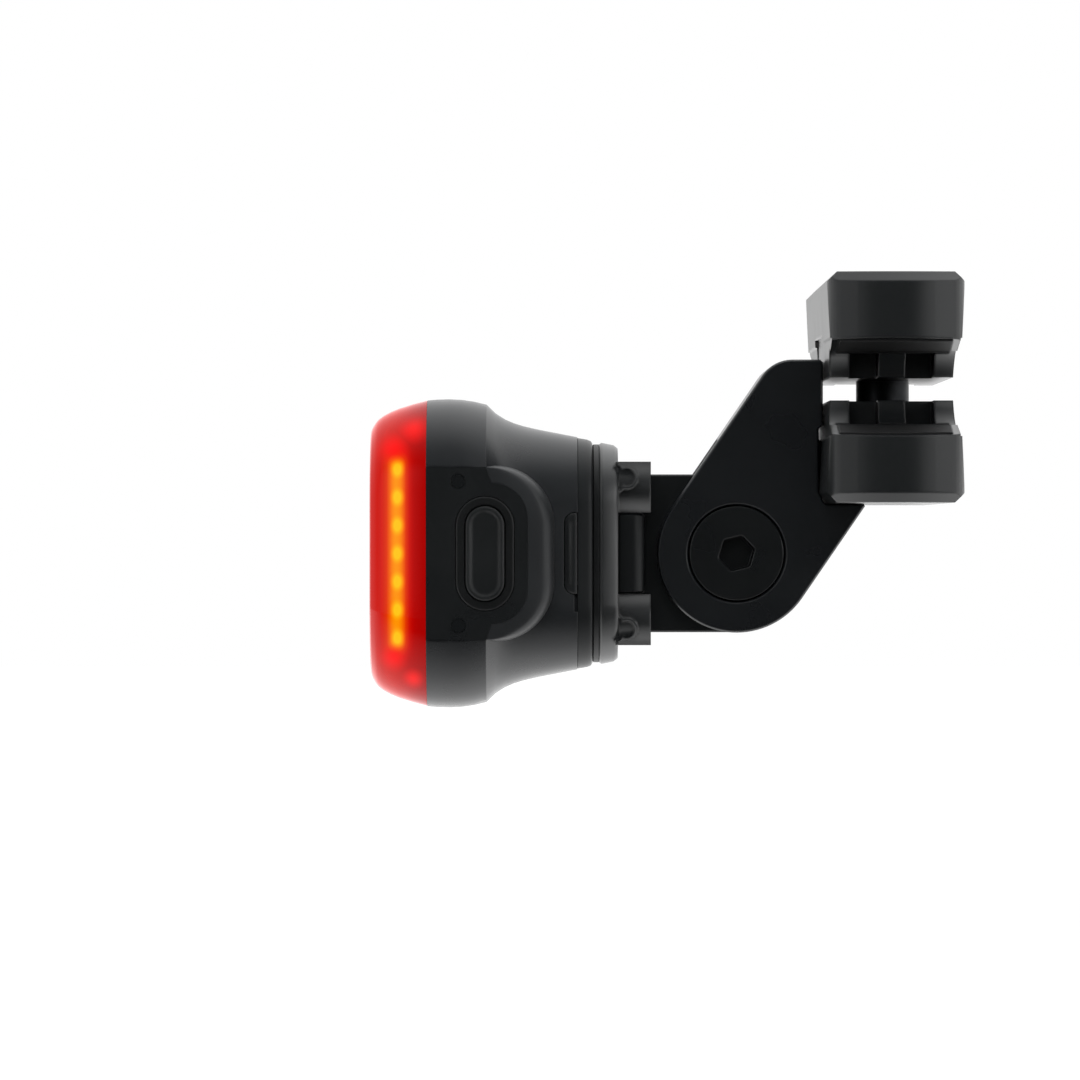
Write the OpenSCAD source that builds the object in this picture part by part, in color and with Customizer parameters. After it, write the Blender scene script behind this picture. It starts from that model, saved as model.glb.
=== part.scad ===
// Rechargeable bike rear light on a bracket that clamps the two rails of a saddle.
// Origin: midway between the rail channels of the lower jaw, on the clamp bolt's axis.
// +X points to the front of the bike and the lens faces -X, +Y runs across the bike, +Z is up.
// Lengths are millimetres and angles are degrees.

/* [Saddle rails] */
// Diameter of a saddle rail
rail_d = 7; // [6.6:0.1:7.4]
// Distance between the two rails, centre to centre
rail_pitch = 44; // [42:0.5:46]
// How far the upper jaw is lifted off the rails at rest
jaw_open = 2.4; // [1.6:0.1:3]

/* [Jaws] */
// Length of each jaw across the bike
jaw_len = 58; // [56:0.5:60]
// Width of each jaw along the rails
jaw_w = 16.6; // [16:0.1:17.4]
// Distance from the rail's centre to the jaw's outer face
jaw_h = 12.7; // [12.2:0.1:13.5]
// Distance from the rail's centre to the parting face
parting_gap = 0.2; // [0.1:0.05:0.3]
// Drop from the rail's centre to the edge of the outer shelf
shelf_drop = 4.7; // [4.4:0.1:5]
// Angle by which the seat hooks up past its lowest point
seat_hook = 21; // [21:1:26]
// Chamfer round the outer face
jaw_chamfer = 1.2; // [0.6:0.1:1.8]
// Draft of the outer block's sides, from the chamfer to the shelf
jaw_draft = 0.35; // [0:0.05:0.5]
// Radius of the bowed end faces
end_bow_r = 45; // [35:1:80]
// Radius of the upright corners at the ends
end_corner_r = 1.8; // [1:0.1:2.4]
// Width of the middle rib of the inner wall
rib_w = 3.3; // [2.6:0.1:4]
// Width of the pocket on each side of the rib
pocket_w = 3.5; // [2.5:0.1:3.8]
// Depth of the pockets into the wall
pocket_depth = 4.5; // [2:0.5:5]
// Depth of the pockets' floor below the rail's centre
pocket_drop = 3.3; // [2.4:0.1:3.4]

/* [Rail pads] */
// Length of a pad along the rail
pad_len = 13.6; // [11:0.2:14.4]
// Thickness of a pad
pad_t = 0.9; // [0.6:0.1:1.2]
// Height of a pad's inner edge below the rail's centre
pad_rise = 3.1; // [1.6:0.1:3.2]

/* [Clamp bolt and nut] */
// Thread diameter of the clamp bolt
clamp_d = 5; // [4:0.5:5]
// Length of the clamp bolt under its head
clamp_len = 16; // [14:1:18]
// Diameter of the bolt's head
clamp_head_d = 8.5; // [7.5:0.1:9]
// Height of the bolt's head
clamp_head_h = 3.5; // [2.8:0.1:3.6]
// Size of the hex socket across its flats
clamp_hex = 4; // [3:0.5:4]
// Thickness of the washer
washer_t = 0.8; // [0.5:0.1:1]
// Diameter of the washer
washer_d = 9.6; // [9.2:0.1:10]
// Outer diameter of the sleeve nut
post_d = 6.6; // [6.2:0.1:7]
// Diameter of the sleeve nut's head
nut_head_d = 10; // [9:0.1:10.4]
// Height of the sleeve nut's head
nut_head_h = 1.8; // [1.4:0.1:2]

/* [Arm] */
// Place of the pivot behind the clamp bolt
pivot_back = 18.5; // [18:0.1:19.5]
// Drop of the pivot and the light's axis below the rails
pivot_drop = 18.85; // [18.5:0.05:19.5]
// Radius of the arm's round end, half the width of its bar
arm_r = 9.8; // [9.4:0.1:10]
// Slope of the bar from the horizontal
arm_slope = 55.6; // [54:0.2:57]
// Height of the arm's flat top above the rails
arm_top = 5.1; // [4:0.1:5.4]
// Radius of the arm's top corner
arm_corner_r = 4.5; // [3:0.1:5]
// Distance from the clamp bolt to the arm's front face
arm_face = 7.85; // [7.7:0.05:8]
// Thickness of the arm
arm_t = 17; // [16:0.5:18]
// Width of the fork's gap
fork_gap = 10.4; // [9.8:0.1:10.8]
// Width of the lug that holds the lower jaw
lug_w = 11.4; // [10.6:0.1:11.8]
// Thickness of the lug
lug_t = 4.3; // [3.8:0.1:4.6]
// Drop of the lug's top face below the rails
lug_drop = 4.9; // [4.8:0.1:5.2]

/* [Pivot] */
// Diameter of the pivot bolt's thread
pivot_d = 6; // [5:0.5:6]
// Diameter of the heads of the pivot bolt and nut
pivot_head_d = 11.7; // [10.8:0.1:12.2]
// Thickness of the heads
pivot_head_t = 1.9; // [1.6:0.1:2.1]
// Outer diameter of the pivot nut's sleeve
sleeve_d = 8; // [7.6:0.1:8.6]
// Size of the pivot's hex socket across its flats
pivot_hex = 4; // [3:0.5:4]
// Turn of the hex socket in the bolt's head
pivot_hex_turn = 14; // [0:1:30]
// Outer diameter of the friction washers
friction_d = 16; // [13:0.5:18]

/* [Hinge block] */
// Thickness of the block's tongue
tongue_t = 9.4; // [8.8:0.1:9.6]
// Width of the block's head
block_w = 21.2; // [20:0.2:22]
// Height of the block's head
block_head_h = 9.8; // [9:0.1:9.9]
// Length of the block's head from the base
block_head_l = 3.3; // [2.8:0.1:3.4]
// Radius of the head's rear corners
block_corner_r = 1.6; // [1:0.1:1.6]
// Distance from the axis to each block screw
block_screw_off = 4.2; // [3.8:0.1:4.4]
// Thread diameter of the block screws
block_screw_d = 3; // [2.5:0.5:3]
// Diameter of a block screw's head
block_head_d = 4.2; // [3.6:0.1:4.6]
// Height of a block screw's head
block_head_t = 1.2; // [1:0.1:1.4]
// Reach of a block screw into the block
block_screw_reach = 6.5; // [5:0.5:7]

/* [Mount base] */
// Distance from the clamp bolt to the back face of the base's plate
base_back = 33.2; // [32.8:0.1:34]
// Thickness of the plate
base_t = 2.3; // [2.1:0.1:2.4]
// Half the width of the plate
base_half = 13.7; // [13.4:0.1:14]
// Corner radius of the plate
base_corner_r = 7.5; // [6.5:0.1:8]
// Height of the lugs behind the plate
base_lug_h = 4.05; // [3.6:0.05:4.2]
// Distance from the axis to a lug's lower edge
lug_low = 5.05; // [5:0.05:5.4]
// Distance from the axis to a lug's upper edge
lug_high = 11.3; // [10.8:0.1:11.6]
// Distance from the middle plane to a lug's outer side
lug_out = 10.6; // [10.4:0.1:11]
// Depth of a lug across the bike
lug_depth = 4.3; // [3.5:0.1:4.6]
// Reach of a strap hook past its lug
hook_reach = 1.6; // [1.2:0.1:2.4]
// Length of a strap hook along the light's axis
hook_l = 2.5; // [2.2:0.1:2.8]
// Height of a strap hook's end
hook_h = 2.9; // [2.4:0.1:3]

/* [Twist lock] */
// Radius of the light's spigot
spigot_r = 8.6; // [8.2:0.1:8.8]
// Wall of the spigot
spigot_wall = 2; // [1.6:0.1:2.1]
// Radius over the spigot's two tabs
tab_r = 10.6; // [10.2:0.1:10.8]
// Width of a tab
tab_w = 8; // [6:0.5:8.5]
// Thickness of a tab
tab_t = 0.7; // [0.6:0.05:0.75]
// Thickness of the base's flange in front of the tabs
flange_t = 0.7; // [0.6:0.05:0.75]
// Thickness of the gasket between light and base
gasket_t = 0.75; // [0.6:0.05:0.75]
// Width of the gasket at the middle of a side
gasket_w = 2.5; // [2:0.1:3.5]

/* [Housing] */
// Distance along the axis from the base's plate to the back cover
neck_l = 0.8; // [0.7:0.1:1.2]
// Thickness of the back cover
cover_t = 1.9; // [1.8:0.1:2.2]
// Half the width of the back cover
cover_half = 14.3; // [14:0.1:14.6]
// Corner radius of the back cover
cover_corner_r = 8; // [7:0.1:9]
// Half the width of the housing at its back
tail_half = 14.4; // [14.2:0.1:14.7]
// Half the width of the housing at its widest
body_half = 19.05; // [18.6:0.05:19.5]
// Length of the housing from its back to the seam with the lens
housing_l = 18.5; // [18:0.1:19]
// Distance from the housing's back to the crease
crease_l = 11.2; // [10.8:0.1:11.6]
// Distance from the seam to the widest section
peak_l = 2.7; // [2:0.1:3.5]
// Depth of the crease below the widest section
crease_in = 0.65; // [0.4:0.05:0.9]
// Corner radius of the widest section
body_corner_r = 11; // [9:0.5:12.5]
// Corner radius at the housing's back
tail_corner_r = 8; // [7:0.5:9]
// Wall of the housing
wall = 1.6; // [1.3:0.1:1.8]

/* [Side panel and button] */
// Half the height of the side panel
panel_half = 10.5; // [10:0.1:11]
// Distance from the seam to the rear edge of the panel's flat face
panel_flat_l = 12.4; // [12:0.1:12.8]
// Distance from the seam to the foot of the panel's shoulder
panel_l = 14.6; // [14:0.1:15]
// Corner radius at the panel's foot
panel_corner_r = 7.2; // [6.4:0.1:7.4]
// Corner radius of the panel's flat face behind the crease
panel_flat_r = 4.4; // [3.5:0.1:5]
// How far the flat face lies inside the foot, above and below
panel_step = 1.9; // [1:0.1:2.2]
// Distance from the seam to the button's centre
button_back = 7.2; // [7:0.1:7.6]
// Width of the button's seal ring
seal_w = 7.2; // [6.8:0.1:7.6]
// Height of the button's seal ring
seal_h = 14; // [13:0.2:14.6]
// Width of the seal ring round the key
seal_ring = 1.2; // [1:0.05:1.4]
// Height of the key above the panel
key_proud = 0.4; // [0.2:0.05:0.6]
// Travel of the key
key_travel = 0.5; // [0.3:0.05:0.6]
// Width of the rim round the key's dish
key_rim = 0.6; // [0.4:0.1:1]
// Depth of the dish in the key
key_dish = 0.3; // [0.1:0.05:0.4]
// Diameter of the stem behind the key
stem_d = 2.4; // [2:0.1:3]
// Length of the stem behind the key
stem_l = 2.2; // [1.6:0.1:3]
// Diameter of a status window
dot_d = 1.7; // [1.2:0.1:2]
// Distance from the axis to a status window
dot_off = 8.8; // [8.4:0.1:9.2]
// Distance from the seam to the status windows
dot_back = 3.95; // [3:0.05:4.2]

/* [Charging port] */
// Height of the port cover
flap_h = 9.9; // [9.4:0.1:10.4]
// Width of the port cover
flap_w = 1.55; // [1.4:0.05:1.6]
// Thickness of the port cover
flap_t = 1.2; // [1:0.05:1.3]
// Height of the socket's shell
socket_h = 7.6; // [6:0.2:8]
// Depth of the socket
socket_depth = 4.2; // [3.8:0.1:4.6]
// Wall of the socket's shell
socket_wall = 0.2; // [0.15:0.05:0.25]

/* [Lens] */
// Length of the lens from the seam to its flat front
lens_l = 6.6; // [6.2:0.1:7]
// Half the width of the flat front
lens_flat = 15.6; // [15:0.1:16]
// Wall of the lens
lens_wall = 1.3; // [1.1:0.1:1.5]
// Width of the seal behind the lens
lens_seal_w = 1; // [0.8:0.1:1.4]
// Thickness of the seal behind the lens
lens_seal_t = 1; // [0.8:0.1:1.2]
// Distance from the middle plane to the inner edge of the rim round the flat front
rim_in = 14.2; // [13.8:0.1:14.6]
// Corner radius of the rim's inner edge
rim_corner_r = 8; // [7:0.1:9]
// Height of the rim above the flat front
rim_proud = 0.35; // [0.1:0.05:0.5]
// Half the width of the front window
window_half = 11.6; // [11:0.1:12]
// Corner radius of the front window
window_corner_r = 5; // [4:0.1:6]
// Thickness of the front window
window_t = 1.35; // [1.2:0.05:1.5]
// Height of the window above the flat front
window_proud = 0.45; // [0.2:0.05:0.6]

/* [Light engine] */
// Number of side LEDs in a column
led_count = 7; // [5:1:7]
// Spacing of the side LEDs
led_pitch = 3.43; // [3:0.01:3.6]
// Distance from the seam to the side LEDs
led_front = 3.5; // [3.2:0.05:3.7]
// Distance from the middle plane to the face of the side boards
led_out = 13.2; // [12.6:0.1:13.4]
// Width of a side LED
led_w = 1.6; // [1.2:0.1:2]
// Height of a side LED
led_h = 0.6; // [0.4:0.1:0.6]
// Number of rows and columns of front LEDs
cup_count = 3; // [2:1:4]
// Spacing of the front LEDs
cup_pitch = 6.6; // [5:0.1:6.8]
// Width of a front LED
chip_w = 2; // [1.4:0.1:2.4]
// Height of a front LED
chip_h = 0.7; // [0.5:0.1:0.9]
// Depth of the reflector
reflector_depth = 3.4; // [2.6:0.1:4]
// Thickness of the circuit boards
board_t = 1; // [0.8:0.1:1.2]

/* [Battery and main board] */
// Length of the battery along the light's axis
battery_l = 11; // [8:0.5:11]
// Width of the battery across the light
battery_w = 18; // [15:0.5:18]
// Height of the battery
battery_h = 22; // [18:0.5:22]
// Height of the main board
board_h = 22; // [18:0.5:24]
// Distance from the seam to the main board's front edge
board_back = 1.6; // [1.4:0.1:2.5]
// Width of the switch behind the key
switch_w = 6; // [4.5:0.5:6.5]
// Height of the switch's body
switch_h = 3.4; // [3:0.1:3.6]
// Diameter of the switch's plunger
plunger_d = 3.2; // [2.6:0.1:3.6]

/* [Hidden] */
$fn = 64;

// Clearances
seat_gap = 0.05;
run_gap = 0.05;
slip_gap = 0.1;
// A cut runs this far past the solid that it opens
over = 1;

// Jaws, measured from the rail's centre with the groove facing up
rail_r = rail_d / 2;
rail_y = rail_pitch / 2;
jaw_side = jaw_w / 2;
jaw_end = jaw_len / 2;
shelf_side = jaw_side - jaw_draft - 0.2;
top_side = jaw_side - jaw_draft - 0.45;
lip_y = rail_y + rail_r * sin(seat_hook);
lip_z = -rail_r * cos(seat_hook);
pad_end = jaw_end - rail_y - 0.8;
pad_proud = 0.25;
channel_gap = 0.3;

// Clamp bolt and nut
clamp_r = clamp_d / 2;
post_r = post_d / 2;
recess_floor = jaw_h - clamp_head_h - washer_t - 0.1;
bore_end = recess_floor - 1.8;
post_top = bore_end - 0.3;
nut_seat = -jaw_h + nut_head_h + 0.2;
bolt_seat = jaw_open + recess_floor + washer_t;

// Arm and pivot
pivot_x = -pivot_back;
axis_z = -pivot_drop;
bar_x = cos(arm_slope);
bar_z = sin(arm_slope);
fork_depth = arm_r + 0.6;
lug_top = -lug_drop;
pivot_seat = arm_t / 2 - pivot_head_t - 0.1;

// Stations along the light's axis, from the base to the lens
base_x = -base_back;
base_front = base_x - base_t;
cover_back = base_front - neck_l;
tail_x = cover_back - cover_t;
crease_x = tail_x - crease_l;
seam_x = tail_x - housing_l;
peak_x = seam_x + peak_l;
seam_in = 0.15;
front_x = seam_x - lens_l;
flange_x = base_front + flange_t;
tab_front = flange_x + seat_gap;
tab_back = tab_front + tab_t;
spigot_bore = spigot_r - spigot_wall;
pocket_floor = tab_back + 0.2;

// Port, button and boards
flap_x = tail_x - flap_w - seat_gap;
flap_y = -tail_half - 0.2;
socket_mouth = flap_y + flap_t + 0.5;
button_x = seam_x + button_back;
key_w = seal_w - 2 * seal_ring - 2 * run_gap;
key_h = seal_h - 2 * seal_ring - 2 * run_gap;
seal_t = 1.4;
key_t = 1.1;
board_y = socket_mouth + socket_depth;
switch_top = -body_half + key_t - key_proud + stem_l;

// Screws of the back cover, as a place on each diagonal
screw_off = cover_half - 4.9;
screw_r = 1;
boss_r = 2.2;
boss_l = 5;

// Points of a rounded square in the plane x, with half width h and corner radius r
function round_square(x, h, r, steps = 12) = [
    for (corner = [0:3], i = [0:steps])
        let (a = 90 * corner + 90 * i / steps,
             sy = (corner == 0 || corner == 3) ? 1 : -1,
             sz = (corner < 2) ? 1 : -1)
        [x, sy * (h - r) + r * cos(a), sz * (h - r) + r * sin(a)]];

// Solid through rings of equal length that follow one another along +X
module loft(rings) {
    n = len(rings[0]);
    last = len(rings) - 1;
    points = [for (ring = rings) each ring];
    sides = [for (k = [0:last - 1], j = [0:n - 1])
        let (a = k * n + j, b = k * n + (j + 1) % n, c = b + n, d = a + n)
        each [[a, d, c], [a, c, b]]];
    front = [[for (j = [0:n - 1]) j]];
    back = [[for (j = [n - 1:-1:0]) last * n + j]];
    polyhedron(points, concat(sides, front, back), convexity = 4);
}

// Everything of the light stands on its axis
module on_axis() {
    translate([0, 0, axis_z])
        children();
}

// Cylinder along X or Y, from one station to another
module rod_x(r, from, to) {
    translate([from, 0, 0])
        rotate([0, 90, 0])
            cylinder(r = r, h = to - from);
}

module rod_y(r, from, to) {
    translate([0, from, 0])
        rotate([-90, 0, 0])
            cylinder(r = r, h = to - from);
}

// Box from its lowest to its highest corner
module box(low, high) {
    translate(low)
        cube(high - low);
}

// Hexagonal prism along Z, by its width across flats
module hex(flats, h) {
    cylinder(d = flats / cos(30), h = h, $fn = 6);
}

// Stadium along Z, standing between two stations of Y
module stadium(w, h, from, to) {
    straight = h / 2 - w / 2;
    box([-w / 2, from, -straight], [w / 2, to, straight]);
    for (s = [-1, 1])
        translate([0, 0, s * straight])
            rod_y(w / 2, from, to);
}

// Points of the right half of an outline, from the bottom up, and their mirror image
function both_halves(half) = concat(half,
    [for (i = [len(half) - 1:-1:0]) [-half[i][0], half[i][1]]]);

// One jaw with its grooves facing up and the rails' centres at z = 0
module jaw_profile_side() {
    past = jaw_end + over;
    rotate([90, 0, 90])
        linear_extrude(2 * jaw_w, center = true)
            polygon(both_halves([[past, -jaw_h],
                [past, -shelf_drop], [jaw_end, -shelf_drop],
                [lip_y, lip_z], [rail_y, -rail_r / 2],
                [rail_y - rail_r * 0.6, -parting_gap]]));
}

module jaw_profile_end() {
    rotate([90, 0, 0])
        linear_extrude(2 * jaw_len, center = true)
            polygon(both_halves([[jaw_side - jaw_chamfer, -jaw_h],
                [jaw_side, -jaw_h + jaw_chamfer], [jaw_side - jaw_draft, -shelf_drop],
                [shelf_side, -shelf_drop], [top_side, -parting_gap]]));
}

// Plan of a jaw. Its corners are arcs that almost touch the bow of the ends, which trims them.
module jaw_plan() {
    bow_y = jaw_end - end_bow_r;
    x = jaw_side - end_corner_r;
    last = acos(x / (end_bow_r - end_corner_r));
    y = bow_y + (end_bow_r - end_corner_r) * sin(last) - 0.05;
    arc = [for (i = [0:6])
        let (a = last * i / 6)
        [x + end_corner_r * cos(a), y + end_corner_r * sin(a)]];
    end = [[1, y + end_corner_r * sin(last) + (x + end_corner_r * cos(last) - 1) / tan(last)]];
    upper = concat(arc, end);
    translate([0, 0, -jaw_h - over])
        linear_extrude(jaw_h + 2 * over)
            polygon(both_halves(concat(
                [for (i = [len(upper) - 1:-1:0]) [upper[i][0], -upper[i][1]]], upper)));
}

module jaw_blank() {
    intersection() {
        jaw_profile_side();
        jaw_profile_end();
        jaw_plan();
        bowed_ends();
    }
}

// The two bowed ends, as the space that two large cylinders share, with their chamfer as a cone
module bowed_ends() {
    intersection_for(s = [-1, 1])
        translate([0, s * (jaw_end - end_bow_r), -jaw_h]) {
            cylinder(r1 = end_bow_r - jaw_chamfer, r2 = end_bow_r, h = jaw_chamfer, $fn = 180);
            translate([0, 0, jaw_chamfer])
                cylinder(r = end_bow_r, h = jaw_h, $fn = 180);
        }
}

// The space of one pad and of the recess that holds it, on the +Y rail
module pad_blank() {
    outer_r = rail_r + pad_t;
    translate([0, rail_y, 0])
        union() {
            intersection() {
                rod_x(outer_r, -pad_len / 2, pad_len / 2);
                box([-pad_len, -2 * outer_r, -2 * outer_r],
                    [pad_len, lip_y - rail_y, -pad_rise]);
            }
            rotate([90, 0, 90])
                linear_extrude(pad_len, center = true)
                    polygon([[0, -outer_r], [lip_y - rail_y, -outer_r],
                        [pad_end, pad_edge() - pad_t], [pad_end, pad_edge()],
                        [lip_y - rail_y, lip_z], [0, lip_z]]);
        }
}

// Height of the pad's top at its outer edge, a little proud of the shelf
function pad_edge() = lip_z
    + (lip_z + shelf_drop) * (lip_y - rail_y - pad_end) / (jaw_end - lip_y) + pad_proud;

module rail_space(r) {
    translate([0, rail_y, 0])
        rod_x(r, -jaw_w, jaw_w);
}

module both_rails() {
    for (s = [0, 1])
        mirror([0, s, 0])
            children();
}

module wall_pockets() {
    for (s = [-1, 1])
        translate([s * (rib_w + pocket_w) / 2, 0, 0])
            box([-pocket_w / 2, rail_y - rail_r - pocket_depth, -pocket_drop],
                [pocket_w / 2, rail_y, over]);
}

// Pockets, pad recesses and rail grooves are cut one after another, because they share edges
module jaw() {
    difference() {
        difference() {
            difference() {
                jaw_blank();
                both_rails()
                    wall_pockets();
            }
            both_rails()
                pad_blank();
        }
        both_rails()
            rail_space(rail_r);
    }
}

module rail_pads() {
    both_rails()
        difference() {
            pad_blank();
            rail_space(rail_r);
        }
}

// The lug and the slot that it fills differ only by a clearance
module lug_space(gap) {
    low = lug_top - lug_t - gap;
    high = lug_top + gap;
    half = lug_w / 2 + gap;
    box([-jaw_side - over, -half, low], [0, half, high]);
    translate([0, 0, low])
        cylinder(r = half, h = high - low);
}

module lower_jaw() {
    color("#2e3032")
        difference() {
            jaw();
            lug_space(slip_gap);
            translate([0, 0, -jaw_h - over])
                cylinder(r = post_r + run_gap, h = jaw_h + 2 * over);
            translate([0, 0, -jaw_h - over])
                cylinder(r = nut_head_d / 2 + slip_gap, h = nut_seat + jaw_h + over);
        }
}

module lower_rail_pads() {
    color("#1b1c1d")
        rail_pads();
}

module lifted() {
    translate([0, 0, jaw_open])
        mirror([0, 0, 1])
            children();
}

module upper_jaw() {
    color("#2e3032")
        lifted()
            difference() {
                jaw();
                translate([0, 0, -bore_end])
                    cylinder(r = post_r + run_gap, h = bore_end + over);
                translate([0, 0, -jaw_h - over])
                    cylinder(r = clamp_r + 0.25, h = jaw_h + over);
                translate([0, 0, -jaw_h - over])
                    cylinder(r = washer_d / 2 + slip_gap, h = jaw_h + over - recess_floor);
                box([-jaw_side - over, -arm_t / 2 - channel_gap, -arm_top - 0.5],
                    [channel_gap - arm_face, arm_t / 2 + channel_gap, over]);
            }
}

module upper_rail_pads() {
    color("#1b1c1d")
        lifted()
            rail_pads();
}

module clamp_nut() {
    color("#3a3c3e")
        difference() {
            union() {
                translate([0, 0, nut_seat - nut_head_h])
                    cylinder(r = nut_head_d / 2, h = nut_head_h);
                translate([0, 0, nut_seat - seat_gap])
                    cylinder(r = post_r, h = post_top - nut_seat + seat_gap);
            }
            translate([0, 0, -2 * jaw_h])
                cylinder(r = clamp_r + run_gap, h = 4 * jaw_h);
        }
}

module clamp_washer() {
    color("#6c6e70")
        translate([0, 0, jaw_open + recess_floor])
            difference() {
                cylinder(r = washer_d / 2, h = washer_t);
                translate([0, 0, -over])
                    cylinder(r = clamp_r + slip_gap, h = washer_t + 2 * over);
            }
}

module clamp_bolt() {
    color("#4a4c4e")
        difference() {
            union() {
                translate([0, 0, bolt_seat])
                    cylinder(r = clamp_head_d / 2, h = clamp_head_h);
                translate([0, 0, bolt_seat - clamp_len])
                    cylinder(r = clamp_r, h = clamp_len + over / 2);
            }
            translate([0, 0, bolt_seat + clamp_head_h - 2.2])
                hex(clamp_hex, 2.2 + over);
        }
}

// Outline of the arm seen from the side: round end, sloping bar and flat top
module arm_outline() {
    left = [pivot_x - arm_r * bar_z, axis_z + arm_r * bar_x];
    right = [pivot_x + arm_r * bar_z, axis_z - arm_r * bar_x];
    floor_z = -jaw_h - seat_gap;
    corner_z = arm_top - arm_corner_r;
    corner_x = left[0] + (corner_z - left[1]) / tan(arm_slope) + arm_corner_r / bar_z;
    translate([pivot_x, axis_z])
        circle(arm_r);
    corner = [for (a = [90 + arm_slope:-arm_slope / 8:89.9])
        [corner_x + arm_corner_r * cos(a), corner_z + arm_corner_r * sin(a)]];
    polygon(concat([left], corner, [[-arm_face, arm_top], [-arm_face, floor_z],
        [right[0] + (floor_z - right[1]) / tan(arm_slope), floor_z], right]));
}

// The corner of the arm that the lower jaw sits in
module jaw_corner() {
    x = -jaw_side - seat_gap;
    z = -jaw_h - seat_gap;
    rotate([90, 0, 0])
        linear_extrude(2 * arm_t, center = true)
            polygon([[x, -pad_rise], [x, z + jaw_chamfer], [x + jaw_chamfer, z],
                [jaw_w, z], [jaw_w, -pad_rise]]);
}

module at_pivot() {
    translate([pivot_x, 0, axis_z])
        children();
}

module arm() {
    color("#18191b") {
        difference() {
            rotate([90, 0, 0])
                linear_extrude(arm_t, center = true)
                    arm_outline();
            jaw_corner();
            at_pivot() {
                rotate([0, -arm_slope, 0])
                    box([-2 * arm_r, -fork_gap / 2, -2 * arm_r],
                        [fork_depth, fork_gap / 2, 2 * arm_r]);
                rod_y(sleeve_d / 2 + run_gap, -arm_t, arm_t);
                for (s = [0, 1])
                    mirror([0, s, 0])
                        rod_y(pivot_head_d / 2 + 0.15, pivot_seat, arm_t);
            }
        }
        difference() {
            lug_space(0);
            translate([0, 0, -jaw_h])
                cylinder(r = post_r + run_gap, h = jaw_h);
            box([-jaw_w, -arm_t, -jaw_h], [-jaw_side - over / 2, arm_t, 0]);
        }
    }
}

module pivot_bolt() {
    color("#161718")
        at_pivot()
            difference() {
                union() {
                    rod_y(pivot_head_d / 2, -pivot_seat - pivot_head_t, -pivot_seat);
                    rod_y(pivot_d / 2, -pivot_seat - over / 2, tongue_t / 2);
                }
                rotate([90, 0, 0])
                    rotate([0, 0, pivot_hex_turn])
                        translate([0, 0, pivot_seat - 0.9])
                            hex(pivot_hex, pivot_head_t + over);
            }
}

module pivot_nut() {
    color("#161718")
        at_pivot()
            difference() {
                union() {
                    rod_y(pivot_head_d / 2, pivot_seat, pivot_seat + pivot_head_t);
                    rod_y(sleeve_d / 2, seat_gap - pivot_seat, pivot_seat + over / 2);
                }
                rod_y(pivot_d / 2 + run_gap, -arm_t, pivot_seat - 1);
                rotate([-90, 0, 0])
                    translate([0, 0, pivot_seat + pivot_head_t - 1])
                        hex(pivot_hex, over + 1);
            }
}

module pivot_washers() {
    color("#3b3a36")
        at_pivot()
            for (s = [0, 1])
                mirror([0, s, 0])
                    difference() {
                        rod_y(friction_d / 2, tongue_t / 2 + seat_gap, fork_gap / 2 - seat_gap);
                        rod_y(sleeve_d / 2 + run_gap, 0, fork_gap);
                    }
}

module hinge_block() {
    head_x = base_x + block_head_l;
    corner_x = head_x - block_corner_r;
    side = block_w / 2;
    color("#141516")
        difference() {
            union() {
                at_pivot()
                    rod_y(arm_r, -tongue_t / 2, tongue_t / 2);
                on_axis() {
                    box([base_x, -tongue_t / 2, -arm_r], [pivot_x, tongue_t / 2, arm_r]);
                    box([base_x, -side, -block_head_h / 2], [corner_x, side, block_head_h / 2]);
                    box([base_x, block_corner_r - side, -block_head_h / 2],
                        [head_x, side - block_corner_r, block_head_h / 2]);
                    for (s = [-1, 1])
                        translate([corner_x, s * (side - block_corner_r), -block_head_h / 2])
                            cylinder(r = block_corner_r, h = block_head_h);
                }
            }
            at_pivot()
                rod_y(sleeve_d / 2 + run_gap, -arm_t, arm_t);
            block_screw_places()
                rod_x(block_screw_d / 2 + run_gap, base_x - over,
                    base_x + block_screw_reach + 0.5);
        }
}

module block_screw_places() {
    on_axis()
        for (s = [-1, 1])
            translate([0, 0, s * block_screw_off])
                children();
}

module block_screws() {
    color("#5a5c5e")
        block_screw_places()
            difference() {
                union() {
                    rod_x(block_head_d / 2, pocket_floor - block_head_t, pocket_floor);
                    rod_x(block_screw_d / 2, pocket_floor - over / 4, base_x + block_screw_reach);
                }
                rod_x(0.3 * block_screw_d, pocket_floor - block_head_t - over,
                    pocket_floor - block_head_t / 3);
            }
}

// Outline of a strap hook seen from the side: a foot on the plate, a neck and a round head
module hook_outline(inset) {
    r = hook_h / 2 - inset;
    x = hook_l - hook_h / 2;
    neck = hook_h / 2 - 0.3 - inset;
    translate([x, 0])
        circle(r, $fn = 40);
    translate([inset - 0.3, -neck])
        square([x + 0.3 - inset, 2 * neck]);
    polygon([[-0.3, -hook_h / 2 - 0.5 + inset], [0.25, -hook_h / 2 - 0.3 + inset], [x, inset - neck],
        [x, neck - inset], [0.25, hook_h / 2 + 0.3 - inset], [-0.3, hook_h / 2 + 0.5 - inset]]);
}

module hook_layer(inset, from, to) {
    translate([base_x, to, lug_high - hook_h / 2 - 0.5])
        rotate([90, 0, 0])
            linear_extrude(to - from)
                hook_outline(inset);
}

module base_lug() {
    inner = lug_out - lug_depth;
    box([base_x - 0.3, inner, lug_low], [base_x + base_lug_h, lug_out, lug_high]);
    // strap hook with a rim round its shallow recess
    difference() {
        hook_layer(0, lug_out - over, lug_out + hook_reach);
        hook_layer(0.4, lug_out + hook_reach - 0.5, lug_out + hook_reach + over);
    }
}

function base_ring(x, inset) = round_square(x, base_half - inset, base_corner_r - inset);

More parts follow.
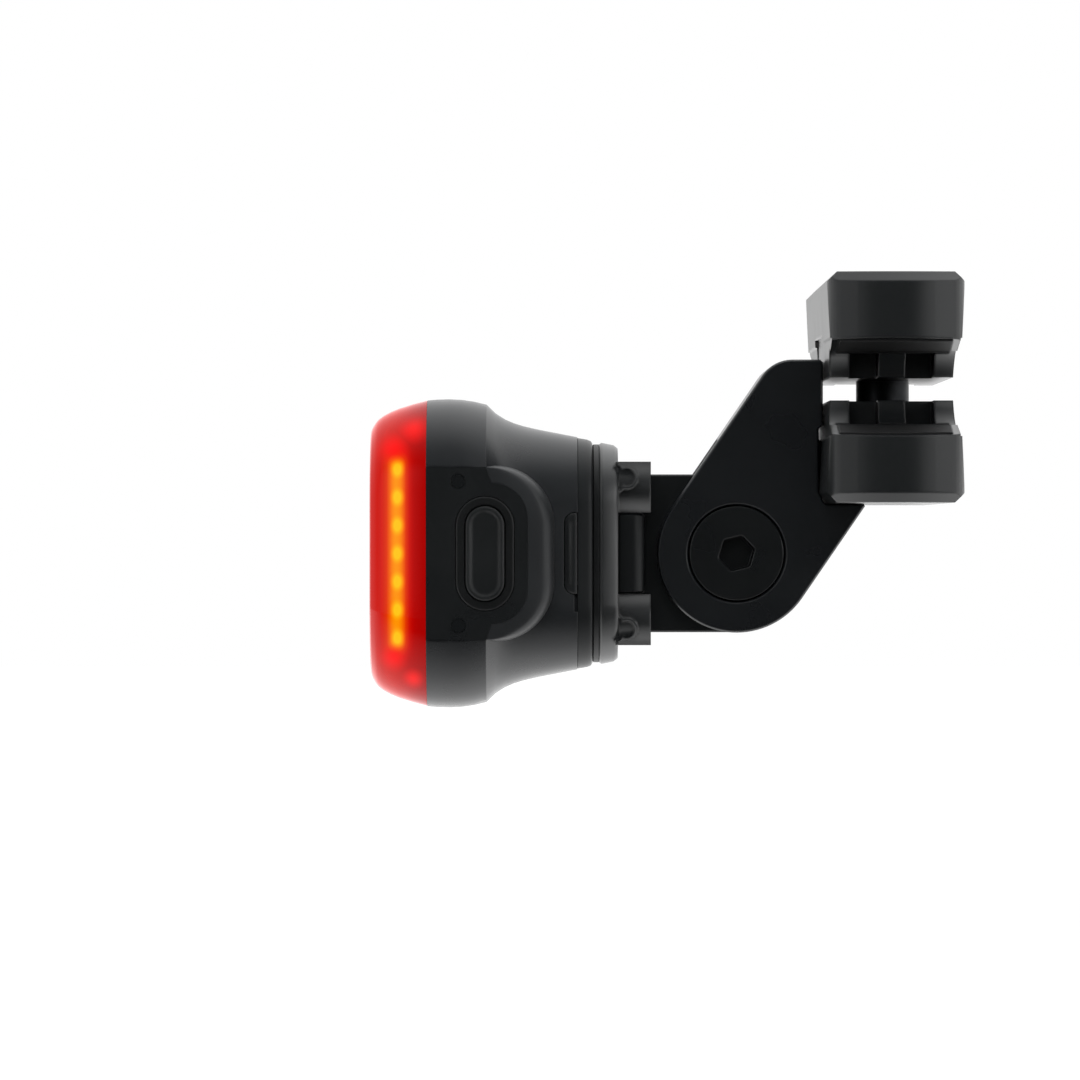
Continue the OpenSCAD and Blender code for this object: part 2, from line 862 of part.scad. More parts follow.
module mount_base() {
    color("#303234")
        on_axis() {
            difference() {
                loft([base_ring(base_front, 0.2), base_ring(base_front + 0.3, 0),
                    base_ring(base_x - 0.5, 0.3), base_ring(base_x, 0.7)]);
                rod_x(tab_r + 0.2, flange_x, pocket_floor);
                rod_x(spigot_r + 0.2, base_front - over, flange_x + over / 4);
                intersection() {
                    rod_x(tab_r + 0.2, base_front - over, flange_x + over / 4);
                    box([base_front - over, -tab_r - over, -tab_w / 2 - 0.3],
                        [base_x, tab_r + over, tab_w / 2 + 0.3]);
                }
                for (s = [-1, 1])
                    translate([0, 0, s * block_screw_off])
                        rod_x(block_screw_d / 2 + slip_gap, base_front, base_x + over);
            }
            for (sy = [0, 1], sz = [0, 1])
                mirror([0, sy, 0])
                    mirror([0, 0, sz])
                        base_lug();
        }
}

module base_gasket() {
    color("#101112")
        on_axis()
            difference() {
                loft([base_ring(base_front - gasket_t, 0.2), base_ring(base_front, 0.2)]);
                rod_x(base_half - gasket_w, base_front - 2 * over, base_front + over);
            }
}

// Half width of the housing's outer surface and its corner radius, station by station
function tail_blend(t) = tail_half + (body_half - crease_in - tail_half) * flare(t);
function flare(t) = 0.54 * t + 0.46 * pow(t, 6);
function corner_blend(t) = tail_corner_r + (body_corner_r - tail_corner_r) * t;

function housing_rings(inset) = concat(
    [for (t = [-1, -0.556, 0, 0.326, 0.674])
        let (x = peak_x + t * (t < 0 ? peak_l : crease_x - peak_x))
        round_square(x, body_half - inset - bulge_in(x), body_corner_r - inset)],
    [round_square(crease_x, body_half - inset - crease_in, body_corner_r - inset)],
    [for (i = [9:-1:0])
        let (t = i / 10)
        round_square(crease_x + crease_l * (1 - t), tail_blend(t) - inset,
            corner_blend(t) - inset)]);

// From the widest section the surface falls away to the seam and to the crease
function bulge_in(x) = let (d = x - peak_x)
    (d < 0 ? seam_in * pow(d / peak_l, 2) : crease_in * pow(d / (crease_x - peak_x), 2));

module housing_solid() {
    on_axis()
        loft(housing_rings(0));
}

module housing_space() {
    rings = housing_rings(wall);
    on_axis()
        loft(concat([round_square(seam_x - over, body_half - wall - seam_in, body_corner_r - wall)],
            rings,
            [round_square(tail_x + over, tail_half - wall, tail_corner_r - wall)]));
}

// Outline of the side panel in a plane of y, square at the seam and round at the back.
// It goes from the flat face at k = 0 to the foot of the shoulder at k = 1.
function panel_ring(y, k) =
    let (step = panel_step * (1 - k),
         high = panel_half - step,
         r = panel_flat_r + (panel_corner_r - panel_flat_r) * k,
         x = seam_x + panel_flat_l + (panel_l - panel_flat_l) * k - r,
         round_part = [for (a = [90:-7.5:0]) [x + r * cos(a), high - r + r * sin(a)]],
         upper = concat([[seam_x, panel_half], [crease_x, panel_half]], round_part),
         lower = [for (i = [len(upper) - 1:-1:0]) [upper[i][0], -upper[i][1]]])
    [for (p = concat(upper, lower)) [p[0], y, p[1]]];

// The panel's space: a flat face that narrows behind the crease, and a shoulder that runs
// down into the flare
module panel_space() {
    shoulder = [[0, 0], [0.9, 0.22], [1.9, 0.5], [2.8, 0.8], [3.5, 1]];
    on_axis()
        loft(concat([for (p = shoulder) panel_ring(p[0] - body_half, p[1])],
            [panel_ring(wall + 1.4 - tail_half, 1)]));
}

// Shape of the port cover, round at its front, and with a gap that of its opening
module flap_shape(gap, from, to) {
    half = flap_h / 2 + gap;
    r = 1.2 + gap;
    front = flap_x - gap;
    back = flap_x + flap_w + gap;
    on_axis()
        intersection() {
            box([front, from, -half], [back, to, half]);
            union() {
                box([front - r, from, r - half], [back + r, to, half - r]);
                for (s = [-1, 1])
                    translate([front + r, 0, s * (half - r)])
                        rod_y(r, from, to);
                box([front + r, from, -half], [back + r, to, half]);
            }
        }
}

module port_space() {
    flap_shape(slip_gap, flap_y - over, socket_mouth);
    on_axis()
        box([flap_x + flap_w, flap_y - over, -flap_h / 2 - slip_gap],
            [tail_x + over, socket_mouth, flap_h / 2 + slip_gap]);
}

// Room for the socket's shell behind the flap
module socket_space(gap) {
    on_axis()
        box([flap_x - gap, socket_mouth - over, -socket_h / 2 - gap],
            [tail_x + over, board_y + gap, socket_h / 2 + gap]);
}

module corner_screws() {
    on_axis()
        for (sy = [-1, 1], sz = [-1, 1])
            translate([0, sy * screw_off, sz * screw_off])
                children();
}

module housing() {
    color("#2b2d2f")
        difference() {
            union() {
                difference() {
                    housing_solid();
                    housing_space();
                    panel_space();
                }
                intersection() {
                    corner_screws()
                        rod_x(boss_r, tail_x - boss_l, tail_x);
                    housing_solid();
                }
            }
            corner_screws()
                rod_x(screw_r + run_gap, tail_x - boss_l + 0.6, tail_x + over);
            port_space();
            socket_space(slip_gap);
            // slot that the flap's tether runs in
            on_axis()
                box([tail_x - 0.4, -tail_half - over, -flap_h / 2 - 2.2],
                    [tail_x + over, -tail_half + 0.8, -flap_h / 2]);
        }
}

module side_panel() {
    color("#1e2022")
        difference() {
            panel_space();
            housing_space();
            on_axis() {
                translate([button_x, 0, 0]) {
                    stadium(seal_w + seat_gap, seal_h + seat_gap, -body_half - over,
                        -body_half + seal_t + seat_gap / 2);
                    stadium(key_w + 2 * slip_gap, key_h + 2 * slip_gap, -body_half, 0);
                }
                dots(slip_gap / 2, -body_half - over, 0);
            }
        }
}

module dots(gap, from, to) {
    for (s = [-1, 1])
        translate([seam_x + dot_back, 0, s * dot_off])
            rod_y(dot_d / 2 + gap, from, to);
}

module status_windows() {
    color("#0e0f10")
        on_axis()
            dots(0, -body_half + 0.05, -body_half + wall - 0.2);
}

module button_seal() {
    color("#101112")
        on_axis()
            translate([button_x, 0, 0])
                difference() {
                    stadium(seal_w, seal_h, -body_half - 0.1, -body_half + seal_t);
                    stadium(key_w + 2 * run_gap, key_h + 2 * run_gap, -body_half - over,
                        -body_half + seal_t + over);
                }
}

module button() {
    color("#1c1e20")
        on_axis()
            translate([button_x, 0, 0]) {
                difference() {
                    stadium(key_w, key_h, -body_half - key_proud, -body_half + key_t);
                    stadium(key_w - 2 * key_rim, key_h - 2 * key_rim,
                        -body_half - key_proud - over, -body_half - key_proud + key_dish);
                }
                rod_y(stem_d / 2, -body_half + key_t - over / 4, switch_top);
            }
}

module port_cover() {
    plug_h = flap_h - 2.4;
    color("#26282a") {
        flap_shape(0, flap_y, flap_y + flap_t);
        on_axis()
            translate([flap_x, 0, 0]) {
                // raised bead along the outer edge
                box([0.45, flap_y - 0.15, -plug_h / 2], [0.7, flap_y + 0.5, plug_h / 2]);
                box([0.4, flap_y, -plug_h / 2], [flap_w - 0.4, flap_y + flap_t + 0.3, plug_h / 2]);
            }
    }
}

module charge_port() {
    color("#a8abad")
        on_axis()
            difference() {
                box([flap_x, socket_mouth, -socket_h / 2], [tail_x - seat_gap, board_y, socket_h / 2]);
                box([flap_x + socket_wall, socket_mouth - over, socket_wall - socket_h / 2],
                    [tail_x - seat_gap - socket_wall, board_y - 0.6, socket_h / 2 - socket_wall]);
            }
}

// The board narrows at its back end, between the screw bosses
module main_board() {
    y = board_y + seat_gap;
    neck_x = tail_x - boss_l - 0.5;
    neck_half = screw_off - boss_r - 0.4;
    color("#1f4a33")
        on_axis() {
            box([seam_x + board_back, y, -board_h / 2], [neck_x, y + board_t, board_h / 2]);
            box([seam_x + board_back, y, -neck_half], [tail_x - 0.3, y + board_t, neck_half]);
        }
}

module tact_switch() {
    body_y = board_y - switch_h;
    color("#8c8f91")
        on_axis()
            translate([button_x, 0, 0]) {
                box([-switch_w / 2, body_y, -switch_w / 2], [switch_w / 2, board_y, switch_w / 2]);
                rod_y(plunger_d / 2, switch_top + key_travel + 0.1, body_y + over / 2);
            }
}

module battery() {
    x = tail_x - boss_l - 0.3;
    y = board_y + seat_gap + board_t + 0.3;
    color("#5b6f86")
        on_axis()
            box([x - battery_l, y, -battery_h / 2], [x, y + battery_w, battery_h / 2]);
}

function cover_ring(x, inset) = round_square(x, cover_half - inset, cover_corner_r - inset);

module back_cover() {
    color("#26282a")
        difference() {
            on_axis() {
                loft([cover_ring(tail_x, 0), cover_ring(cover_back - 0.7, 0.2),
                    cover_ring(cover_back - 0.2, 0.4), cover_ring(cover_back, 0.75)]);
                difference() {
                    union() {
                        rod_x(spigot_r, cover_back - over / 2, tab_back);
                        intersection() {
                            rod_x(tab_r, tab_front, tab_back);
                            box([tab_front, -tab_w / 2, -tab_r], [tab_back, tab_w / 2, tab_r]);
                        }
                    }
                    rod_x(spigot_bore, cover_back, tab_back + over);
                }
            }
            corner_screws() {
                rod_x(screw_r + slip_gap, tail_x - over, cover_back + over);
                rod_x(1.9, cover_back - 1.1, cover_back + over);
            }
            seal_ring_space(over);
        }
}

// Groove and ring share one shape, left open where the port crosses it
module seal_ring_space(extra) {
    mid = tail_half - wall / 2;
    on_axis()
        difference() {
            loft([round_square(tail_x - extra, mid + 0.3, tail_corner_r - 0.5),
                round_square(tail_x + 0.7, mid + 0.3, tail_corner_r - 0.5)]);
            loft([round_square(tail_x - 2 * over, mid - 0.3, tail_corner_r - 1.1),
                round_square(tail_x + over, mid - 0.3, tail_corner_r - 1.1)]);
            box([tail_x - 2 * over, -body_half, -flap_h / 2 - over],
                [tail_x + over, 0, flap_h / 2 + over]);
        }
}

module back_seal() {
    color("#101112")
        seal_ring_space(0);
}

module back_screws() {
    color("#6c6e70")
        corner_screws()
            difference() {
                union() {
                    rod_x(1.8, cover_back - 1.05, cover_back - 0.1);
                    rod_x(screw_r, tail_x - boss_l + 1, cover_back - 1);
                }
                rod_x(0.6, cover_back - 0.7, cover_back + over);
            }
}

// Outside and inside of the lens, as distances behind the flat front and half widths. Between
// the rim and the seam the curve goes by shares of the lens's length and of its rise.
function lens_rings(profile, inset) = [
    for (p = profile)
        round_square(front_x + p[0], p[1] - inset, body_corner_r * (p[1] / body_half) - inset)];

seam_half = body_half - seam_in;
lens_rise = seam_half - lens_flat;
lens_curve = [[0.038, 0.197], [0.091, 0.309], [0.182, 0.439], [0.318, 0.582], [0.47, 0.703],
    [0.742, 0.87], [1, 1]];
lens_outside = concat([[-rim_proud, lens_flat - 0.35], [-0.15, lens_flat + 0.05]],
    [for (p = lens_curve) [p[0] * lens_l, lens_flat + p[1] * lens_rise]]);
lens_inside = concat([[lens_wall, lens_flat + 0.6]],
    [for (p = lens_outside) if (p[0] > lens_wall) p], [[lens_l + over, seam_half]]);

module lens() {
    color("#c8100c", 0.75)
        on_axis()
            difference() {
                loft(lens_rings(lens_outside, 0));
                loft(lens_rings(lens_inside, lens_wall));
                loft([for (x = [front_x - over, front_x])
                    round_square(x, rim_in, rim_corner_r)]);
                loft([for (x = [front_x - 2 * over, front_x + window_t - window_proud])
                    window_ring(x, -slip_gap)]);
            }
}

function window_ring(x, inset) = round_square(x, window_half - inset, window_corner_r - inset);

module front_window() {
    color("#1a0f10")
        on_axis()
            loft([window_ring(front_x - window_proud, 0.9),
                window_ring(front_x - window_proud + 0.15, 0.3),
                window_ring(front_x - window_proud + 0.4, 0),
                window_ring(front_x - window_proud + window_t - seat_gap, 0)]);
}

module lens_seal() {
    outer = body_half - wall - 0.2;
    color("#101112")
        on_axis()
            difference() {
                loft([for (x = [seam_x, seam_x + lens_seal_t])
                    round_square(x, outer, body_corner_r - wall)]);
                loft([for (x = [seam_x - over, seam_x + lens_seal_t + over])
                    round_square(x, outer - lens_seal_w, body_corner_r - wall - lens_seal_w)]);
            }
}

module led_board() {
    color("#e6e8ea")
        on_axis()
            loft([for (x = [seam_x - board_t, seam_x])
                round_square(x, body_half - wall - 1.3, body_corner_r - wall - 1.2)]);
}

module cup_places() {
    on_axis()
        for (i = [0:cup_count - 1], j = [0:cup_count - 1])
            translate([seam_x - board_t, (i - (cup_count - 1) / 2) * cup_pitch,
                (j - (cup_count - 1) / 2) * cup_pitch])
                children();
}

module front_leds() {
    color("#f4e6c0")
        cup_places()
            box([-chip_h, -chip_w / 2, -chip_w / 2], [0, chip_w / 2, chip_w / 2]);
}

module reflector() {
    depth = reflector_depth;
    half = (cup_count - 1) / 2 * cup_pitch + cup_pitch / 2 + 0.3;
    color("#d8dadc")
        difference() {
            on_axis()
                box([seam_x - board_t - depth, -half, -half], [seam_x - board_t, half, half]);
            cup_places()
                translate([-depth - 0.01, 0, 0])
                    rotate([0, 90, 0])
                        cylinder(r1 = cup_pitch / 2 - 0.2, r2 = 1.6, h = depth + 0.02, $fn = 32);
        }
}

module side_led_boards() {
    length = led_count * led_pitch;
    color("#e6e8ea")
        on_axis()
            for (s = [0, 1])
                mirror([0, s, 0])
                    box([seam_x - led_front - 0.9, led_out - 0.8, -length / 2],
                        [seam_x - board_t, led_out, length / 2]);
}

module side_leds() {
    color("#ffb020")
        on_axis()
            for (s = [0, 1], i = [0:led_count - 1])
                mirror([0, s, 0])
                    translate([seam_x - led_front, led_out, (i - (led_count - 1) / 2) * led_pitch])
                        box([-led_w / 2, 0, -led_w / 2], [led_w / 2, led_h, led_w / 2]);
}

arm();
lower_jaw();
lower_rail_pads();
clamp_nut();
pivot_bolt();
pivot_nut();
pivot_washers();
upper_jaw();
upper_rail_pads();
clamp_washer();
clamp_bolt();
hinge_block();
mount_base();
base_gasket();
block_screws();
back_cover();
back_seal();
back_screws();
housing();
side_panel();
button_seal();
status_windows();
button();
port_cover();
charge_port();
main_board();
tact_switch();
battery();
lens();
front_window();
lens_seal();
led_board();
front_leds();
reflector();
side_led_boards();
side_leds();
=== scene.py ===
from math import cos, radians, sin, tau

import bmesh
import bpy
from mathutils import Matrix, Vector


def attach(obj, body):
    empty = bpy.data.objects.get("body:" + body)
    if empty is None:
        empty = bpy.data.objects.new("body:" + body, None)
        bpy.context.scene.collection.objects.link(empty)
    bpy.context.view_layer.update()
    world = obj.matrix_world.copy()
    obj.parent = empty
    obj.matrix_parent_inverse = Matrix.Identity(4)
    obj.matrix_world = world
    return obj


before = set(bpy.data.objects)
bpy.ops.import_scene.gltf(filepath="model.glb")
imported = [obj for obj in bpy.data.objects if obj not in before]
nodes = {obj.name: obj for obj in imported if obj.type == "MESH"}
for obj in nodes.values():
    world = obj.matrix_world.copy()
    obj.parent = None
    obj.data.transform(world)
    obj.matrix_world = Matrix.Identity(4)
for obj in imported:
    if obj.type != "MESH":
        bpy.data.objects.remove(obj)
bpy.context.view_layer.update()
mm = 0.001
lightAxis = -18.85  # mm, height of the axis that the light and its base share
weldGap = 0.002  # mm, points closer than this are one
print("frame loaded:", len(nodes), "nodes")

# A span says where a change starts and ends, and the levels there
spanSockets = ("From Min", "From Max", "To Min", "To Max")
noiseReach = (0.3, 0.7)  # the values that noise takes nearly everywhere


def toLinear(hexColour):
    parts = [int(hexColour[i : i + 2], 16) / 255 for i in (1, 3, 5)]
    return [p / 12.92 if p <= 0.04045 else ((p + 0.055) / 1.055) ** 2.4 for p in parts] + [1.0]


# In inputs a socket is linked, a node is linked by its first output, and a value is set
def addNode(tree, kind, inputs=None, **settings):
    node = tree.nodes.new(kind)
    for name, value in settings.items():
        setattr(node, name, value)
    for name, value in (inputs or {}).items():
        if isinstance(value, bpy.types.Node):
            value = value.outputs[0]
        if isinstance(value, bpy.types.NodeSocket):
            tree.links.new(value, node.inputs[name])
        else:
            node.inputs[name].default_value = value
    return node


def startMaterial(name):
    material = bpy.data.materials.new(name)
    material.use_nodes = True
    material.node_tree.nodes.clear()
    return material, material.node_tree


def setRamp(node, stops):
    elements = node.color_ramp.elements
    while len(elements) < len(stops):
        elements.new(1.0)
    for element, (place, colour) in zip(elements, stops):
        element.position = place
        element.color = toLinear(colour)


# A moulded or coated surface: fine grain in the relief, slow drifts in tone and gloss, and edges
# that the light rounds off over the radius "soft". A crown bends the surface gently along one
# axis: it sets in "apart" from the middle on both sides, and only where x is above "start".
# Sizes and heights are in mm. Real grain is finer than a pixel of the photograph, so it is drawn
# at 0.1 mm and up, as coarse as it needs to show.
def grainedMaterial(name, colour, rough, grain, height, tone=0.06, gloss=0.04, drift=7.0,
                    soft=0.0, crown=None, **shader):
    material, tree = startMaterial(name)
    place = addNode(tree, "ShaderNodeTexCoord").outputs["Object"]
    fine = addNode(tree, "ShaderNodeTexNoise", {
        "Vector": place, "Scale": 1 / (grain * mm), "Detail": 3.0, "Roughness": 0.6})
    broad = addNode(tree, "ShaderNodeTexNoise", {
        "Vector": place, "Scale": 1 / (drift * mm), "Detail": 3.0})
    level = addNode(tree, "ShaderNodeMapRange", {
        "Value": broad, **dict(zip(spanSockets, (*noiseReach, 1 - tone, 1 + tone)))})
    shade = addNode(tree, "ShaderNodeVectorMath", {0: toLinear(colour)[:3], 1: level},
                    operation="MULTIPLY")
    sheen = addNode(tree, "ShaderNodeMapRange", {
        "Value": broad, **dict(zip(spanSockets, (*noiseReach, rough - gloss, rough + gloss)))})
    relief = addNode(tree, "ShaderNodeBump", {
        "Height": fine, "Strength": 1.0, "Distance": height * mm})
    below = relief
    if crown:
        parts = addNode(tree, "ShaderNodeSeparateXYZ", {"Vector": place})
        away = addNode(tree, "ShaderNodeMath", {
            0: parts.outputs[crown["axis"]], 1: crown["middle"] * mm}, operation="SUBTRACT")
        away = addNode(tree, "ShaderNodeMath", {0: away}, operation="ABSOLUTE")
        away = addNode(tree, "ShaderNodeMath", {0: away, 1: crown["apart"] * mm},
                       operation="SUBTRACT")
        rise = addNode(tree, "ShaderNodeMath", {0: away, 1: 2.0}, operation="POWER")
        rise = addNode(tree, "ShaderNodeMath", {0: rise, 1: -0.5 / (crown["radius"] * mm)},
                       operation="MULTIPLY")
        gate = addNode(tree, "ShaderNodeMath", {
            0: parts.outputs["X"], 1: crown["start"] * mm}, operation="GREATER_THAN")
        bow = addNode(tree, "ShaderNodeBump", {"Height": rise, "Strength": gate, "Distance": 1.0})
        tree.links.new(bow.outputs["Normal"], below.inputs["Normal"])
        below = bow
    if soft:
        edge = addNode(tree, "ShaderNodeBevel", {"Radius": soft * mm}, samples=6)
        tree.links.new(edge.outputs["Normal"], below.inputs["Normal"])
    surface = addNode(tree, "ShaderNodeBsdfPrincipled", {
        "Base Color": shade, "Roughness": sheen, "Normal": relief, **shader})
    addNode(tree, "ShaderNodeOutputMaterial", {"Surface": surface})
    return material


# Steel with the fine rings that turning leaves round its axis, drawn as coarse as they need to
# show, and with clouds in its gloss. Sizes are in mm.
def turnedMaterial(name, colour, rough, centre, across, pitch=0.12, height=0.0012, cloud=1.5,
                   gloss=0.06):
    material, tree = startMaterial(name)
    place = addNode(tree, "ShaderNodeTexCoord").outputs["Object"]
    shift = addNode(tree, "ShaderNodeVectorMath", {0: place, 1: [-value * mm for value in centre]},
                    operation="ADD")
    flat = addNode(tree, "ShaderNodeVectorMath", {0: shift, 1: across}, operation="MULTIPLY")
    radius = addNode(tree, "ShaderNodeVectorMath", {0: flat}, operation="LENGTH")
    turns = addNode(tree, "ShaderNodeMath", {0: radius.outputs["Value"], 1: tau / (pitch * mm)},
                    operation="MULTIPLY")
    ring = addNode(tree, "ShaderNodeMath", {0: turns}, operation="SINE")
    clouds = addNode(tree, "ShaderNodeTexNoise", {
        "Vector": place, "Scale": 1 / (cloud * mm), "Detail": 4.0})
    sheen = addNode(tree, "ShaderNodeMapRange", {
        "Value": clouds, **dict(zip(spanSockets, (*noiseReach, rough - gloss, rough + gloss)))})
    relief = addNode(tree, "ShaderNodeBump", {
        "Height": ring, "Strength": 1.0, "Distance": height * mm})
    surface = addNode(tree, "ShaderNodeBsdfPrincipled", {
        "Base Color": toLinear(colour), "Metallic": 1.0, "Roughness": sheen, "Normal": relief})
    addNode(tree, "ShaderNodeOutputMaterial", {"Surface": surface})
    return material


# Every edge of the real pieces has a small radius, in mm, and that radius catches the light.
# Facets that lie within "flat" degrees are joined first, so that only real edges are rounded.
def softenEdges(nodeName, radius, steps=2, fromAngle=28, clamp=True, flat=0.6):
    item = nodes[nodeName]
    item.data.polygons.foreach_set("use_smooth", [True] * len(item.data.polygons))
    weld = item.modifiers.new("weld", "WELD")
    weld.merge_threshold = weldGap * mm
    facets = item.modifiers.new("facets", "DECIMATE")
    facets.decimate_type = "DISSOLVE"
    facets.angle_limit = radians(flat)
    edge = item.modifiers.new("edge", "BEVEL")
    edge.width = radius * mm
    edge.segments = steps
    edge.limit_method = "ANGLE"
    edge.angle_limit = radians(fromAngle)
    edge.miter_outer = "MITER_ARC"
    edge.use_clamp_overlap = clamp
    item.modifiers.new("shading", "WEIGHTED_NORMAL")


def wear(nodeName, material):
    mesh = nodes[nodeName].data
    mesh.materials.clear()
    mesh.materials.append(material)


shot = {
    "place": (-42.8, -715.0, -17.2),  # mm, nearly level with the light's axis
    "focal": 190.67,  # mm, from how far the clamp's far end shrinks in the photograph
    "sensor": 36.0,  # mm
    "nearest": 50.0,  # mm
}
cameraData = bpy.data.cameras.new("productCamera")
cameraData.lens = shot["focal"]
cameraData.sensor_width = shot["sensor"]
cameraData.clip_start = shot["nearest"] * mm
cameraObject = bpy.data.objects.new("productCamera", cameraData)
cameraObject.location = [value * mm for value in shot["place"]]
cameraObject.rotation_euler = (radians(90), 0, 0)
bpy.context.scene.collection.objects.link(cameraObject)
bpy.context.scene.camera = cameraObject
bpy.context.scene.view_settings.view_transform = "Standard"
print("camera set")

# Bracket: arm, jaws, pads and their bolts
arm = {
    "edge": {"radius": 0.34, "steps": 1, "clamp": False},
    # glass-filled nylon, moulded against a lightly sparked tool: near black, with a satin sheen
    "finish": {"colour": "#16181a", "rough": 0.3, "grain": 0.14, "height": 0.0015, "soft": 0.2},
}
softenEdges("arm", **arm["edge"])
wear("arm", grainedMaterial("glassFilledNylonArm", **arm["finish"]))

jaws = {
    # the jaws' nylon has a paler tint, and its satin faces go light where they turn from the
    # lens. Their edges are chamfers already, so only the material rounds them.
    "finish": {"colour": "#1b1d1e", "rough": 0.32, "grain": 0.16, "height": 0.0015, "tone": 0.03,
               "gloss": 0.012, "soft": 0.4,
               "crown": {"axis": "X", "middle": 0.0, "apart": 0.0, "radius": 17.0, "start": -20.0}},
}
jawNylon = grainedMaterial("glassFilledNylonJaw", **jaws["finish"])
for nodeName in ("lower_jaw", "upper_jaw"):
    wear(nodeName, jawNylon)

pads = {
    "edge": {"radius": 0.12},
    # moulded rubber: matt, so that the pads stay black between the jaws
    "finish": {"colour": "#101112", "rough": 0.62, "grain": 0.2, "height": 0.006, "tone": 0.1},
}
padRubber = grainedMaterial("mouldedPadRubber", **pads["finish"])
for nodeName in ("lower_rail_pads", "upper_rail_pads"):
    softenEdges(nodeName, **pads["edge"])
    wear(nodeName, padRubber)

pivot = {
    "edge": {"radius": 0.2},
    # thick black oxide: an even near-black skin, with a gleam only on the rounded rim
    "finish": {"colour": "#131516", "rough": 0.3, "grain": 0.12, "height": 0.001, "soft": 0.15},
}
pivotSteel = grainedMaterial("blackOxidePivotSteel", **pivot["finish"])
for nodeName in ("pivot_bolt", "pivot_nut"):
    softenEdges(nodeName, **pivot["edge"])
    wear(nodeName, pivotSteel)

post = {
    "edge": {"radius": 0.2},
    # thin black oxide over turned steel: dark, with the rings still in its gloss
    "finish": {"colour": "#2e2f31", "rough": 0.45, "centre": (0, 0, 0), "across": (1, 1, 0)},
}
softenEdges("clamp_nut", **post["edge"])
wear("clamp_nut", turnedMaterial("blackOxideSleeveSteel", **post["finish"]))

bolt = {
    "edge": {"radius": 0.15},
    # dark zinc on the clamp bolt and its washer: the brightest metal of the bracket
    "finish": {"colour": "#5d5f62", "rough": 0.3, "centre": (0, 0, 0), "across": (1, 1, 0)},
}
boltSteel = turnedMaterial("darkZincBoltSteel", **bolt["finish"])
for nodeName in ("clamp_bolt", "clamp_washer"):
    softenEdges(nodeName, **bolt["edge"])
    wear(nodeName, boltSteel)

washers = {
    "edge": {"radius": 0.08},
    # acetal friction washers: smooth and a little waxy
    "finish": {"colour": "#3b3a36", "rough": 0.45, "grain": 0.3, "height": 0.002},
}
softenEdges("pivot_washers", **washers["edge"])
wear("pivot_washers", grainedMaterial("cutAcetalWasher", **washers["finish"]))
print("bracket dressed")

# Mount: hinge block and base with its strap hooks
block = {
    "edge": {"radius": 0.3, "steps": 1, "clamp": False},
    # glass-filled nylon as on the arm, drawn darker and with less specular as painted shade, duller
    # in the shade between the cheeks
    "finish": {"colour": "#141617", "rough": 0.42, "grain": 0.14, "height": 0.0015, "soft": 0.2,
               "Specular IOR Level": 0.3},
}
softenEdges("hinge_block", **block["edge"])
wear("hinge_block", grainedMaterial("glassFilledNylonBlockPaintedShade", **block["finish"]))

base = {
    "edge": {"radius": 0.14},
    # a paler nylon whose rounded edges show as clear light lines
    "finish": {"colour": "#212324", "rough": 0.32, "grain": 0.16, "height": 0.001, "soft": 0.4,
               "crown": {"axis": "Z", "middle": lightAxis, "apart": 8.0, "radius": 3.0,
                         "start": -33.2},
               "Specular IOR Level": 1.0},
}
softenEdges("mount_base", **base["edge"])
wear("mount_base", grainedMaterial("glassFilledNylonBase", **base["finish"]))

seals = {
    "edge": {"radius": 0.1},
    # moulded silicone: a matt dark line between two harder pieces
    "finish": {"colour": "#0d0f10", "rough": 0.5, "grain": 0.2, "height": 0.003, "soft": 0.15},
}
sealSilicone = grainedMaterial("mouldedSealSilicone", **seals["finish"])
softenEdges("base_gasket", **seals["edge"])
for nodeName in ("base_gasket", "back_seal", "lens_seal"):
    wear(nodeName, sealSilicone)

screws = {
    # zinc plate on small screws: plain bright metal
    "finish": {"colour": "#77797b", "rough": 0.32, "centre": (0, 0, lightAxis),
               "across": (0, 1, 1)},
}
screwSteel = turnedMaterial("zincScrewSteel", **screws["finish"])
for nodeName in ("block_screws", "back_screws"):
    wear(nodeName, screwSteel)
print("mount dressed")

# Light: shell, side panel, key and covers
housing = {
    "edge": {"radius": 0.12, "fromAngle": 32},
    # polycarbonate blend, moulded with a satin texture: smoky, and light where it turns away
    "finish": {"colour": "#1e2022", "rough": 0.3, "grain": 0.12, "height": 0.0012, "soft": 0.15},
}
softenEdges("housing", **housing["edge"])
wear("housing", grainedMaterial("satinPolycarbonateShell", **housing["finish"]))

panel = {
    "edge": {"radius": 0.3, "steps": 3, "fromAngle": 40},
    # the shell's satin texture in a darker plastic, so the panel stands off as a calm dark face
    "finish": {"colour": "#181a1b", "rough": 0.3, "grain": 0.12, "height": 0.0012},
}
softenEdges("side_panel", **panel["edge"])
wear("side_panel", grainedMaterial("satinPanelPlastic", **panel["finish"]))

key = {
    "edge": {"radius": 0.28, "steps": 3},
    # moulded silicone: matt in the middle, with a light line along the rim
    "finish": {"colour": "#191b1c", "rough": 0.36, "grain": 0.16, "height": 0.0015, "soft": 0.6},
}
keySilicone = grainedMaterial("mouldedKeySilicone", **key["finish"])
softenEdges("button", **key["edge"])
wear("button", keySilicone)

keyRing = {"edge": {"radius": 0.3, "steps": 3}}
softenEdges("button_seal", **keyRing["edge"])
wear("button_seal", sealSilicone)

portFlap = {"edge": {"radius": 0.12}}
softenEdges("port_cover", **portFlap["edge"])
wear("port_cover", keySilicone)

backCover = {
    "edge": {"radius": 0.15},
    # nylon, moulded with a satin texture: a dark band behind the paler shell
    "finish": {"colour": "#191b1c", "rough": 0.36, "grain": 0.14, "height": 0.0015, "soft": 0.2,
               "Specular IOR Level": 0.3},
}
softenEdges("back_cover", **backCover["edge"])
wear("back_cover", grainedMaterial("satinCoverNylon", **backCover["finish"]))

